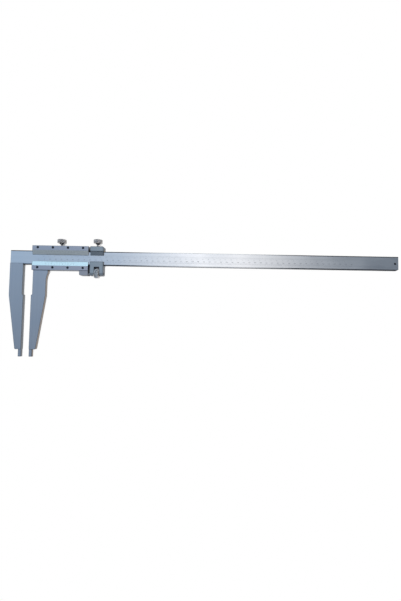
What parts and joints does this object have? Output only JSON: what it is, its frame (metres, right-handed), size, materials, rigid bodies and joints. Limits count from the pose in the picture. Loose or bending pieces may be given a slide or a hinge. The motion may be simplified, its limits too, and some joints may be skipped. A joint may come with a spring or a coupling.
{
  "type": "long jaw vernier caliper",
  "caption": "Long jaw vernier caliper: flat beam with a fixed jaw, sliding jaw, two bevelled vernier plates, fine adjustment carriage and thumb screws.",
  "frame": {"origin": "On the fixed jaw's measuring face, halfway down it and midway through the jaw's thickness", "axes": "+X along the beam towards its free end, +Y from the nibs towards the thumb screws, +Z out of the scale face"},
  "size_m": [0.682, 0.2067, 0.0164],
  "materials": {
    "beam": "satin, ground along its length",
    "fixed_jaw": "satin",
    "end_stop_screw": "blackened",
    "slider_frame": "satin",
    "moving_jaw": "satin",
    "jaw_rivets": "ground flush",
    "upper_vernier_plate": "satin, with a matt bevel",
    "lower_vernier_plate": "satin chrome, with a bright bevel",
    "upper_plate_screws": "blackened",
    "lower_plate_screws": "blackened",
    "slider_gib": "milled",
    "gib_screws": "blackened",
    "fine_adjust_rod": "turned",
    "rod_pin": "plain",
    "slider_lock_pad": "turned",
    "slider_lock_screw": "knurled, satin chrome",
    "carriage_frame": "satin",
    "carriage_gib": "milled",
    "carriage_lock_pad": "turned",
    "carriage_lock_screw": "knurled, satin chrome",
    "fine_adjust_nut": "knurled, satin chrome"
  },
  "bodies": {
    "beam": {"beam": "beam", "fixed_jaw": "fixed_jaw", "end_stop_screw": "end_stop_screw"},
    "slider": {"slider_frame": "slider_frame", "moving_jaw": "moving_jaw", "jaw_rivets": "jaw_rivets", "upper_vernier_plate": "upper_vernier_plate", "lower_vernier_plate": "lower_vernier_plate", "upper_plate_screws": "upper_plate_screws", "lower_plate_screws": "lower_plate_screws", "slider_gib": "slider_gib", "gib_screws": "gib_screws", "fine_adjust_rod": "fine_adjust_rod", "rod_pin": "rod_pin"},
    "slider_pad": {"slider_lock_pad": "slider_lock_pad"},
    "slider_screw": {"slider_lock_screw": "slider_lock_screw"},
    "carriage": {"carriage_frame": "carriage_frame", "carriage_gib": "carriage_gib"},
    "carriage_pad": {"carriage_lock_pad": "carriage_lock_pad"},
    "carriage_screw": {"carriage_lock_screw": "carriage_lock_screw"},
    "nut": {"fine_adjust_nut": "fine_adjust_nut"}
  },
  "joints": [
    {"name": "slider_slide", "type": "slide", "parent": "beam", "child": "slider", "axis": [1, 0, 0], "range_m": [-0.0135, 0.505]},
    {"name": "fine_slide", "type": "slide", "parent": "slider", "child": "carriage", "axis": [1, 0, 0], "range_m": [-0.0025, 0.0035]},
    {"name": "nut_turn", "type": "hinge", "parent": "carriage", "child": "nut", "pos_m": [0.1265, 0.09285, 0.0007], "axis": [1, 0, 0], "range_deg": [-1286, 1801]},
    {"name": "slider_lock_press", "type": "slide", "parent": "slider", "child": "slider_pad", "axis": [0, -1, 0], "range_m": [-0.00141, 0.0003]},
    {"name": "slider_lock_turn", "type": "hinge", "parent": "slider_pad", "child": "slider_screw", "pos_m": [0.0629, 0.14265, 0.0002], "axis": [0, -1, 0], "range_deg": [-720, 154]},
    {"name": "carriage_lock_press", "type": "slide", "parent": "carriage", "child": "carriage_pad", "axis": [0, -1, 0], "range_m": [-0.00071, 0.001]},
    {"name": "carriage_lock_turn", "type": "hinge", "parent": "carriage_pad", "child": "carriage_screw", "pos_m": [0.1265, 0.14265, 0.0002], "axis": [0, -1, 0], "range_deg": [-360, 514]}
  ],
  "couplings": [
    {"joint": "nut_turn", "follows": "fine_slide", "rad_per_m": 8976},
    {"joint": "slider_lock_press", "follows": "slider_lock_turn", "m_per_rad": 0.00011141},
    {"joint": "carriage_lock_press", "follows": "carriage_lock_turn", "m_per_rad": 0.00011141}
  ]
}
